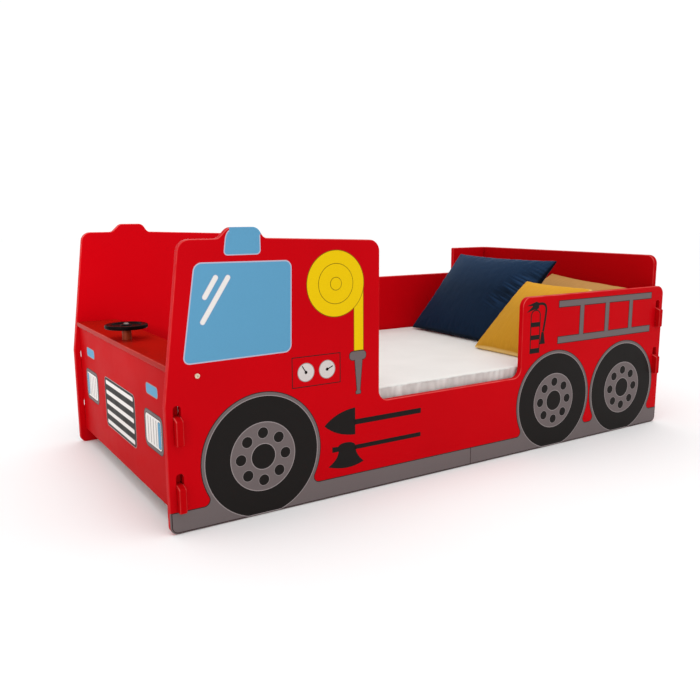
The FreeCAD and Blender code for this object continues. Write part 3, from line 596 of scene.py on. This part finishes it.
sheet = bmesh.new()
bottle = oblong(bottle_left, bottle_right, bottle_low, bottle_high)
bottle_rounding = [0, 0, bottle_shoulder, bottle_shoulder]
lay(sheet, patch(sheet, bottle, bottle_rounding), tool_black, border=bottle_line, hollow=True)
for band in bottle_bands:
    lay(sheet, patch(sheet, oblong(bottle_left, bottle_right, *band)), tool_black, layer=1 + joined_step)
lay(sheet, patch(sheet, valve, small_corner), tool_black, layer=1 + joined_step)
for lever in levers:
    lay(sheet, patch(sheet, lever), tool_black, layer=1 + 2 * joined_step)
lay(sheet, patch(sheet, ribbon(hose_line, hose_width)), tool_black)
lay(sheet, patch(sheet, horn, small_corner), tool_black)
print_sides("extinguisher_print", sheet, tool_inks)

# Ladder: two grey rails and three rungs with one dark line round them, along the guard's top.
# Printed like the tools, the rungs running into the rails.
ladder_left, ladder_right = 1050, 1430
ladder_rails = [(369, 388), (274, 294)]
ladder_rungs = [(1131, 1149), (1232, 1250), (1332, 1349)]
rung_overlap = 5
ladder_inks = [grey_ink, line_ink]
ladder_grey, ladder_line = range(len(ladder_inks))
ladder_parts = [oblong(ladder_left, ladder_right, *rail) for rail in ladder_rails]
rung_low, rung_high = ladder_rails[1][1] - rung_overlap, ladder_rails[0][0] + rung_overlap
ladder_parts += [oblong(*rung, rung_low, rung_high) for rung in ladder_rungs]
sheet = bmesh.new()
ladder_makers = [lambda s, part=part: patch(s, part) for part in ladder_parts]
lay_joined(sheet, ladder_makers, ladder_grey, ladder_line, outline_width)
print_sides("ladder_print", sheet, ladder_inks)

# Front and rear panels: the same painted board, with hooked tabs that hang in the sides' slots.
# The front is printed as a plain vehicle nose: two ribbed lamps, two blue lights and a grille.
end_red = (182, 5, 12)
# The end panels' roundings get the same painted highlight.
end_paint, _, _ = sprayed_paint("end_paint", end_red, edge_highlight_red, "X", shine=0.006)
dress(end_paint, "front_panel", "rear_panel")
nose_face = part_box("front_panel")[0].x
nose_inks = [grey_ink, line_ink, white_ink, black_ink, blue_ink, pale_ink]
lamp_grey, lamp_line, nose_white, grille_black, light_blue, nose_pale = range(len(nose_inks))
lamp_middle, lamp_height, lamp_width, lamp_tall, lamp_corner = 246, 176, 118, 82, 18
glass_inset, glass_corner = 16, 12
lamp_ribs = (-33, -16, 1, 18)
rib_half, rib_width, rib_corner = 27, 3.2, 1.4
marker_shift, marker_width, marker_inset, marker_corner = 38, 18, 26, 6
light_middle, light_height, light_width, light_tall, light_corner = 246, 262, 74, 24, 8
light_line = 2.0
grille_half, grille_low, grille_high, grille_corner = 122, 104, 226, 14
grille_bars, bar_inset, bar_width, bar_corner = 5, 12, 11, 4


def block(middle, height, width, tall):
    """The four corners of an upright oblong round its middle."""
    return oblong(middle - width / 2, middle + width / 2, height - tall / 2, height + tall / 2)


sheet = bmesh.new()
for side in (-1, 1):
    outer = side * lamp_middle
    lamp = block(outer, lamp_height, lamp_width, lamp_tall)
    lay(sheet, patch(sheet, lamp, lamp_corner), lamp_grey, 1, outline_width, lamp_line)
    glass = block(outer, lamp_height, lamp_width - glass_inset, lamp_tall - glass_inset)
    lay(sheet, patch(sheet, glass, glass_corner), nose_white, 2, outline_width, lamp_line, below=1)
    for rib in lamp_ribs:
        rib_x = outer + side * rib
        bar = stroke((rib_x, lamp_height - rib_half), (rib_x, lamp_height + rib_half), rib_width)
        lay(sheet, patch(sheet, bar, rib_corner), nose_pale, 3, below=2)
    marker = block(outer + side * marker_shift, lamp_height, marker_width, lamp_tall - marker_inset)
    lay(sheet, patch(sheet, marker, marker_corner), light_blue, 3, fine_line, lamp_line, below=2)
    light = block(side * light_middle, light_height, light_width, light_tall)
    lay(sheet, patch(sheet, light, light_corner), light_blue, 1, light_line, nose_pale)
grille_middle = (grille_low + grille_high) / 2
grille = block(0, grille_middle, 2 * grille_half, grille_high - grille_low)
lay(sheet, patch(sheet, grille, grille_corner), grille_black, 1, outline_width, nose_pale)
for i in range(grille_bars):
    height = grille_low + (grille_high - grille_low) * (i + 0.5) / grille_bars
    bar = stroke((-grille_half + bar_inset, height), (grille_half - bar_inset, height), bar_width)
    lay(sheet, patch(sheet, bar, bar_corner), nose_white, 2, fine_line, nose_pale, below=1)
to_front = Matrix.Rotation(math.radians(-90), 3, "Z")
bmesh.ops.rotate(sheet, verts=sheet.verts, cent=(0, 0, 0), matrix=to_front)
bmesh.ops.translate(sheet, verts=sheet.verts, vec=(nose_face, 0, 0))
new_piece("nose_print", sheet, nose_inks, "bed_frame")
sheet.free()

# Dash shelf: a thinner painted board on the front panel, doweled there and screwed to two battens.
# A bolt with a cream enamel head holds each batten to its side.
# The shelf's rim colour is a painted highlight on its rounded edges.
shelf_red, shelf_edge_highlight = (160, 20, 10), (204, 80, 68)
shelf_paint, _, _ = sprayed_paint("shelf_paint", shelf_red, shelf_edge_highlight, "Z", shine=0.012, smoothest=0.14)
dress(shelf_paint, "dash_shelf")


def planed_wood(name, pale, dark, along, gloss=0.55):
    """Wood with its grain drawn out along one axis: growth bands, fine streaks and open pores."""
    grain_stretch, band_scale, streak_scale = 0.05, 55.0, 420.0
    band_share, streak_share = 0.75, 0.25
    figure_low, figure_high = 0.35, 0.65
    pore_depth, pore_strength = 0.0003, 0.4
    material = new_finish(name, gloss, Specular_IOR_Level=0.15)
    place = add_node(material, "TexCoord", {}).outputs["Object"]
    stretch = [1.0, 1.0, 1.0]
    stretch[along] = grain_stretch
    drawn = add_node(material, "Mapping", {"Vector": place, "Scale": stretch}).outputs["Vector"]
    inputs = {"Vector": drawn, "Scale": band_scale, "Detail": 5.0, "Distortion": 0.8}
    bands = add_node(material, "TexNoise", inputs).outputs["Fac"]
    streaks = speckle(material, drawn, streak_scale, detail=4.0)
    banded = number(material, "MULTIPLY", bands, band_share)
    streaked = number(material, "MULTIPLY", streaks, streak_share)
    figure = number(material, "ADD", banded, streaked)
    figure = ranged(material, figure, figure_low, figure_high, 0.0, 1.0)
    to_shader(material, "Base Color", mix(material, figure, srgb(*dark), srgb(*pale)))
    roughness = ranged(material, streaks, noise_low, noise_high, gloss + 0.1, gloss - 0.05)
    to_shader(material, "Roughness", roughness)
    bumps(material, streaks, pore_depth, pore_strength)
    return material


def plated_steel(name, colour, roughness, metallic=1.0):
    """Bright plated metal, faintly clouded and scratched."""
    cloud_scale, cloud_shade, scratch_scale = 300.0, 0.86, 1500.0
    scratch_depth, scratch_strength = 0.00005, 0.3
    material = new_finish(name, roughness, Metallic=metallic)
    place = add_node(material, "TexCoord", {}).outputs["Object"]
    cloud = clouded(material, place, cloud_scale)
    to_shader(material, "Base Color", mix(material, cloud, toned(colour, cloud_shade), srgb(*colour)))
    to_shader(material, "Roughness", ranged(material, cloud, 0.0, 1.0, roughness + 0.08, roughness - 0.05))
    bumps(material, speckle(material, place, scratch_scale, detail=2.0), scratch_depth, scratch_strength)
    return material


pine_pale, pine_dark = (222, 188, 138), (186, 142, 92)
pine_along = planed_wood("pine_along", pine_pale, pine_dark, along=0)
pine_across = planed_wood("pine_across", pine_pale, pine_dark, along=1)
dowel_beech = planed_wood("dowel_beech", (206, 168, 126), (176, 132, 92), along=2)
zinc_steel = plated_steel("zinc_steel", (206, 206, 208), roughness=0.3)
cream_enamel = plated_steel("cream_enamel", (226, 206, 176), roughness=0.35, metallic=0.0)
dress(pine_along, "near_shelf_batten", "far_shelf_batten")
dress(dowel_beech, "shelf_dowels")
dress(cream_enamel, "batten_bolts")
dress(zinc_steel, "batten_nuts", "shelf_screws")

# Steering wheel: a turned wooden post on the shelf, and a black moulded disc that spins on a bolt.
# The disc has a raised rim and a shallow dish, satin from the mould.
wheel_black, wheel_haze = (9, 5, 5), (15, 9, 9)
smoothest_black, roughest_black = 0.26, 0.38
haze_scale, mould_scale, mould_depth, mould_strength = 90.0, 1400.0, 0.00008, 0.4
post_wood = planed_wood("post_wood", (160, 60, 22), (114, 36, 11), along=2, gloss=0.5)
dress(post_wood, "steering_post")
dull_steel = plated_steel("dull_steel", (134, 126, 124), roughness=0.36)
dress(dull_steel, "wheel_washer", "steering_bolt", "shelf_washer", "steering_nut")
moulded_black = new_finish("moulded_black", 0.3, Specular_IOR_Level=0.02)
black_place = add_node(moulded_black, "TexCoord", {}).outputs["Object"]
haze = clouded(moulded_black, black_place, haze_scale)
to_shader(moulded_black, "Base Color", mix(moulded_black, haze, srgb(*wheel_black), srgb(*wheel_haze)))
to_shader(moulded_black, "Roughness", ranged(moulded_black, haze, 0.0, 1.0, smoothest_black, roughest_black))
mould_grain = speckle(moulded_black, black_place, mould_scale, detail=2.0)
bumps(moulded_black, mould_grain, mould_depth, mould_strength)
dress(moulded_black, "steering_wheel")

# Slatted base: a pine bearer along each side, and twelve slats screwed down across them.
# All of it is planed and left bare, with the grain along each piece.
slat_names = sorted(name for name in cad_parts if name.startswith("slat_") and name[-1].isdigit())
dress(pine_along, "near_slat_bearer", "far_slat_bearer")
dress(pine_across, *slat_names)
dress(zinc_steel, "bearer_screws", "slat_screws")

# Mattress: foam in a white knitted cover, crowned on top, its border a little slack and rippled.
# It lies loose on the slats, a little short of the boards all round.
mattress_low, mattress_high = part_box("mattress")
plan_corner = 40 * mm
cover_edge = 5 * mm
crown_rise, crown_inset = 1 * mm, 150 * mm
slice_steps = (6 * mm, 12 * mm, 9 * mm)
fold_depth = 3.5 * mm
fold_pitch = 19 * mm
fold_gain, fold_rise, fold_side = 2.2, 9, 2
swell_depth = 1.0 * mm
swell_scale, swell_layer = 5, 4
corner_rounds, rim_rounds = 10, 3
waist_depth = 1.5 * mm
cover_inset = 0.8 * mm


def crossed_rows(material, place, fineness, waver):
    """Two sets of fine rows of stitches or threads that cross each other."""
    inputs = {"Vector": place, "Scale": fineness, "Distortion": waver, "Detail": 1.0}
    return [
        add_node(material, "TexWave", inputs, bands_direction=way).outputs["Fac"] for way in ("X", "Y")
    ]


def knitted(name, colour, shade, border_light_tone, crease_shade_colour, fineness, depth):
    """Cloth with a fine even stitch, a little uneven, with a painted tone for the light on its upright
    border and darker painted shade in its creases.
    """
    cloud_scale, border_turn, stitch_waver, stitch_strength = 9.0, (0.45, 0.8), 0.6, 0.5
    material = new_finish(name, 0.85)
    source = add_node(material, "TexCoord", {})
    place = source.outputs["Object"]
    cloud = clouded(material, place, cloud_scale)
    tone = mix(material, cloud, srgb(*shade), srgb(*colour))
    upward = add_node(material, "SeparateXYZ", {0: source.outputs["Normal"]}).outputs["Z"]
    border = ranged(material, number(material, "ABSOLUTE", upward), *border_turn, 1.0, 0.0)
    # Painted shade: the upright border takes its own tone, darker where the cover creases.
    crease = add_node(material, "Attribute", {}, attribute_name="crease").outputs["Fac"]
    side_tone = mix(material, crease, srgb(*border_light_tone), srgb(*crease_shade_colour))
    to_shader(material, "Base Color", mix(material, border, tone, side_tone))
    rows = crossed_rows(material, place, fineness, stitch_waver)
    bumps(material, number(material, "MULTIPLY", *rows), depth, stitch_strength)
    return material


def sliced(sheet, axis, low, high, step):
    """Cuts a mesh into even slices along one axis."""
    count = round((high - low) / step)
    normal = Vector((axis == 0, axis == 1, axis == 2))
    for i in range(1, count):
        geometry = [*sheet.verts, *sheet.edges, *sheet.faces]
        place = normal * (low + (high - low) * i / count)
        bmesh.ops.bisect_plane(sheet, geom=geometry, dist=1e-6, plane_co=place, plane_no=normal)


def rounded(sheet, edges, radius, segments):
    """Rounds edges of a mesh."""
    bmesh.ops.bevel(
        sheet, geom=edges, offset=radius, offset_type="OFFSET", segments=segments,
        profile=0.5, affect="EDGES", material=-1,
    )


sheet = bmesh.new()
bmesh.ops.create_cube(sheet, size=1)
bmesh.ops.scale(sheet, vec=mattress_high - mattress_low, verts=sheet.verts)
bmesh.ops.translate(sheet, vec=(mattress_low + mattress_high) / 2, verts=sheet.verts)
uprights = [edge for edge in sheet.edges if edge.verts[0].co.xy == edge.verts[1].co.xy]
rounded(sheet, uprights, plan_corner, corner_rounds)
rims = [edge for edge in sheet.edges if edge.verts[0].co.z == edge.verts[1].co.z]
rounded(sheet, rims, cover_edge, rim_rounds)
for axis, step in enumerate(slice_steps):
    sliced(sheet, axis, mattress_low[axis], mattress_high[axis], step)
sheet.normal_update()
crease = sheet.verts.layers.float.new("crease")
middle = (mattress_low + mattress_high) / 2
half = (mattress_high - mattress_low) / 2
for vert in sheet.verts:
    from_middle = vert.co - middle
    inset = min(half.x - abs(from_middle.x), half.y - abs(from_middle.y), crown_inset)
    height = from_middle.z / half.z
    along = vert.co.x if abs(vert.normal.y) > abs(vert.normal.x) else vert.co.y
    fold_spot = Vector((along / fold_pitch, vert.co.z * fold_rise, vert.normal.y * fold_side))
    fold = min(1.0, fold_gain * abs(noise.noise(fold_spot)))
    swell = abs(noise.noise(Vector((vert.co.x * swell_scale, vert.co.y * swell_scale, swell_layer))))
    flatness = abs(vert.normal.z)
    pull = (1 - flatness) * (cover_inset + (1 - fold) * fold_depth + waist_depth * (1 - height * height))
    pull += flatness * (height > 0) * swell * swell_depth
    vert.co -= vert.normal * pull
    # The crease value marks where painted shade darkens the folds.
    vert[crease] = 1 - fold
    vert.co.z -= crown_rise * max(0.0, height) * (1 - inset / crown_inset) ** 2
# border_light_tone and crease_shade_colour are painted light and shade on the rippled border.
white_knit = knitted(
    "white_knit", colour=(230, 227, 223), shade=(225, 222, 218), border_light_tone=(228, 229, 225),
    crease_shade_colour=(204, 204, 200), fineness=330.0, depth=0.0003,
)
mattress = new_piece("mattress_cover", sheet, [white_knit], "mattress")
sheet.free()
mattress.data.shade_smooth()
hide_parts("mattress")

# Cushions: two pieces of cloth sewn together round the edge, turned and filled.
# The seam is drawn in between the corners, and the cloth swells from it.
# The navy one puckers beside the cushion that leans on it.
cloth_step = 5 * mm
drawn_in, drawn_at_foot = 0.07, 0.02
seam_loft = 1.2 * mm
crown_power = 0.5
wave_depth, wave_scale = 2 * mm, 7
lump_share, lump_scale, lump_layer = 0.02, 40, 5
ease_reach = 40 * mm
fill_pressure, cloth_ease = 3.0, 0.012
pucker_inset, pucker_reach, pucker_pitch = 66 * mm, 58 * mm, 10.5 * mm
pucker_middle, pucker_height = 35 * mm, 100 * mm
pucker_turn = math.radians(14)
pucker_slope, pucker_uneven, pucker_gain = 0.45, 0.6, 2.4
sim_frames = 30
rest_height = mattress_high.z + 0.3 * mm


def sewn_cover(width, tall, thickness):
    """Two pieces of cloth joined along their edge, each point with its place on the flat cloth."""
    sheet = bmesh.new()
    place = sheet.verts.layers.float_vector.new("cloth_place")
    seam = sheet.verts.layers.float.new("seam_distance")
    columns, rows = round(width / cloth_step), round(tall / cloth_step)
    for face_side in (-1, 1):
        made = bmesh.ops.create_grid(sheet, x_segments=columns, y_segments=rows, size=0.5)
        bmesh.ops.scale(sheet, vec=(width, tall, 1), verts=made["verts"])
        for vert in made["verts"]:
            x, y = vert.co.x, vert.co.y
            u, v = 2 * x / width, 2 * y / tall
            vert[place] = vert.co
            vert[seam] = min(width / 2 - abs(x), tall / 2 - abs(y))
            vert.co.x *= 1 - drawn_in * (1 - v * v)
            vert.co.y *= 1 - (drawn_in if y > 0 else drawn_at_foot) * (1 - u * u)
            vert.co.z = wave_depth * noise.noise(Vector((x * wave_scale, y * wave_scale, 0)))
            if not vert.is_boundary:
                lump = noise.noise(Vector((x * lump_scale, y * lump_scale, face_side * lump_layer)))
                crown = ((1 - u * u) * (1 - v * v)) ** crown_power * (1 + lump_share * lump)
                vert.co.z += face_side * (seam_loft + (thickness / 2 - seam_loft) * crown)
    bmesh.ops.remove_doubles(sheet, verts=sheet.verts, dist=cloth_step / 10)
    return sheet


def settled(piece):
    """Keeps the shape that a piece's modifiers give it."""
    finished = piece.evaluated_get(bpy.context.evaluated_depsgraph_get())
    shape = bpy.data.meshes.new_from_object(finished)
    piece.modifiers.clear()
    piece.vertex_groups.clear()
    piece.data = shape


def filled(piece):
    """Fills a sewn cover by simulating its cloth, held at the seam, with a little ease beside it."""
    held = piece.vertex_groups.new(name="held")
    taut = piece.vertex_groups.new(name="taut")
    for i, edge in enumerate(piece.data.attributes["seam_distance"].data):
        if edge.value < cloth_step / 4:
            held.add([i], 1.0, "REPLACE")
        taut.add([i], min(1.0, edge.value / ease_reach), "REPLACE")
    cloth = piece.modifiers.new("filling", "CLOTH")
    settings = cloth.settings
    settings.quality = 8
    settings.mass = 0.2
    settings.tension_stiffness = 60
    settings.compression_stiffness = 60
    settings.shear_stiffness = 20
    settings.bending_stiffness = 0.1
    settings.air_damping = 2
    settings.vertex_group_mass = "held"
    settings.vertex_group_shrink = "taut"
    settings.shrink_min = -cloth_ease
    settings.use_pressure = True
    settings.uniform_pressure_force = fill_pressure
    settings.effector_weights.gravity = 0
    cloth.point_cache.frame_start = 1
    cloth.point_cache.frame_end = sim_frames
    for step in range(1, sim_frames + 1):
        scene.frame_set(step)
    bpy.context.view_layer.update()
    settled(piece)
    scene.frame_set(1)


def puckered(piece, width, depth):
    """Presses the front into short slanting creases, in a band beside the cushion that leans on it, and
    marks them for painted highlights on the ridges and painted shade in the creases.
    """
    piece.data.attributes.new("pucker", "FLOAT", "POINT")
    pucker = piece.data.attributes["pucker"].data
    place = piece.data.attributes["cloth_place"].data
    outward = [vert.normal.copy() for vert in piece.data.vertices]
    for vert, normal, spot, mark in zip(piece.data.vertices, outward, place, pucker):
        x, y, _ = spot.vector
        across = (y * math.cos(pucker_turn) + x * math.sin(pucker_turn)) / pucker_pitch
        along = (x * math.cos(pucker_turn) - y * math.sin(pucker_turn)) / pucker_reach
        off_band = abs(width / 2 - x - pucker_inset + pucker_slope * y) / pucker_reach
        uneven = 1 + pucker_uneven * noise.noise(Vector((across / 2, 3, 1)))
        in_band = max(0.0, 1 - off_band * uneven) * (normal.z > 0)
        fade = in_band * max(0.0, 1 - ((y - pucker_middle) / pucker_height) ** 2)
        crease = 1 - min(1.0, pucker_gain * abs(noise.noise(Vector((across, along / 2, 7)))))
        vert.co -= normal * depth * fade * crease
        mark.value = fade * (2 * crease - 1)


def woven(name, colour, shade, seam_edge_tone, fineness, depth, roughness, top_light_gains=(1.0, 1.1), **values):
    """Woven cloth: crossing threads, faint slubs, a line along the seam, painted light brightening the top,
    and painted highlights and shade on any puckers.
    """
    slub_stretch, slub_scale = (1.0, 0.08, 1.0), 260.0
    top_light_height = 0.13
    ridge_highlight_tone, ridge_highlight_share, crease_shade_tone, crease_shade_share = 1.7, 0.5, 0.4, 0.9
    seam_start, seam_end, seam_share = 0.0025, 0.0065, 0.85
    thread_waver, thread_strength = 0.4, 0.5
    material = new_finish(name, roughness, **values)
    cut = add_node(material, "Attribute", {}, attribute_name="cloth_place").outputs["Vector"]
    edge = add_node(material, "Attribute", {}, attribute_name="seam_distance").outputs["Fac"]
    slub = add_node(material, "Mapping", {"Vector": cut, "Scale": slub_stretch}).outputs["Vector"]
    uneven = clouded(material, slub, slub_scale)
    tone = mix(material, uneven, srgb(*shade), srgb(*colour))
    # Painted light: the cloth is made lighter towards its top edge and darker below.
    height = add_node(material, "SeparateXYZ", {0: cut}).outputs["Y"]
    gain = ranged(material, height, 0.0, top_light_height, *top_light_gains)
    tone = add_node(material, "VectorMath", {0: tone, "Scale": gain}, operation="SCALE").outputs[0]
    # Painted light on the puckers: lighter painted highlights on their ridges, darker painted shade in their
    # creases.
    pucker = add_node(material, "Attribute", {}, attribute_name="pucker").outputs["Fac"]
    painted_ridge_highlight = ranged(material, pucker, 0.0, -1.0, 0.0, ridge_highlight_share)
    tone = mix(material, painted_ridge_highlight, tone, toned(colour, ridge_highlight_tone))
    painted_crease_shade = ranged(material, pucker, 0.0, 1.0, 0.0, crease_shade_share)
    tone = mix(material, painted_crease_shade, tone, toned(colour, crease_shade_tone))
    at_seam = ranged(material, edge, seam_start, seam_end, seam_share, 0.0)
    to_shader(material, "Base Color", mix(material, at_seam, tone, srgb(*seam_edge_tone)))
    threads = crossed_rows(material, cut, fineness, thread_waver)
    bumps(material, number(material, "MAXIMUM", *threads), depth, thread_strength)
    return material


def make_cushion(name, finish, size, pose, skew=0, folds=0):
    """Sews, fills and sets down one cushion in the space of its solid, in mm and degrees."""
    width, tall, thickness = (length * mm for length in size)
    lean, turn, roll = (math.radians(angle) for angle in pose)
    sheet = sewn_cover(width, tall, thickness)
    cover = new_piece(name + "_cover", sheet, [finish], name)
    sheet.free()
    filled(cover)
    finer = cover.modifiers.new("finer", "SUBSURF")
    finer.levels = 1
    finer.render_levels = 1
    settled(cover)
    if folds:
        puckered(cover, width, folds * mm)
    deepest = max(abs(vert.co.z) for vert in cover.data.vertices)
    low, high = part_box(name)
    fitted = Matrix.Diagonal((1, 1, min(1.0, thickness / 2 / deepest), 1))
    fitted[0][1] = skew * mm / tall
    fitted[0][3] = skew * mm / 2
    turned = Matrix.Rotation(turn - math.pi / 2, 4, "Z") @ Matrix.Rotation(lean, 4, "X")
    turned = turned @ Matrix.Rotation(roll, 4, "Z")
    cover.data.transform(Matrix.Translation((low + high) / 2) @ turned @ fitted)
    for vert in cover.data.vertices:
        vert.co.z = max(vert.co.z, rest_height)
    cover.data.shade_smooth()
    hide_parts(name)
    return cover


tan_cotton = woven(
    "tan_cotton", colour=(187, 140, 80), shade=(178, 131, 73), seam_edge_tone=(206, 166, 114),
    fineness=420.0, depth=0.0004, roughness=0.85, Specular_IOR_Level=0.1,
)
# The navy's top_light_gains give a strong painted light along its top and painted shade below.
navy_satin = woven(
    "navy_satin", colour=(21, 38, 60), shade=(17, 33, 53), seam_edge_tone=(6, 9, 15),
    fineness=700.0, depth=0.0002, roughness=0.5, top_light_gains=(0.85, 1.6), Specular_IOR_Level=0.02,
    Sheen_Weight=0.1, Sheen_Roughness=0.4, Sheen_Tint=(0.25, 0.5, 0.9, 1.0),
)
# The mustard's pale seam line is a painted highlight along its seam edge.
mustard_cotton = woven(
    "mustard_cotton", colour=(196, 143, 38), shade=(189, 135, 32), seam_edge_tone=(240, 208, 132),
    fineness=420.0, depth=0.0004, roughness=0.8, top_light_gains=(0.97, 1.3), Specular_IOR_Level=0.1,
)
tan_cover = make_cushion("tan_cushion", tan_cotton, size=(330, 330, 76), pose=(31, 0, -7))
navy_cover = make_cushion(
    "navy_cushion", navy_satin, size=(440, 314, 100), pose=(51, 0, -0.5), skew=12, folds=5
)
mustard_cover = make_cushion("mustard_cushion", mustard_cotton, size=(245, 272, 92), pose=(42, 2, -2))
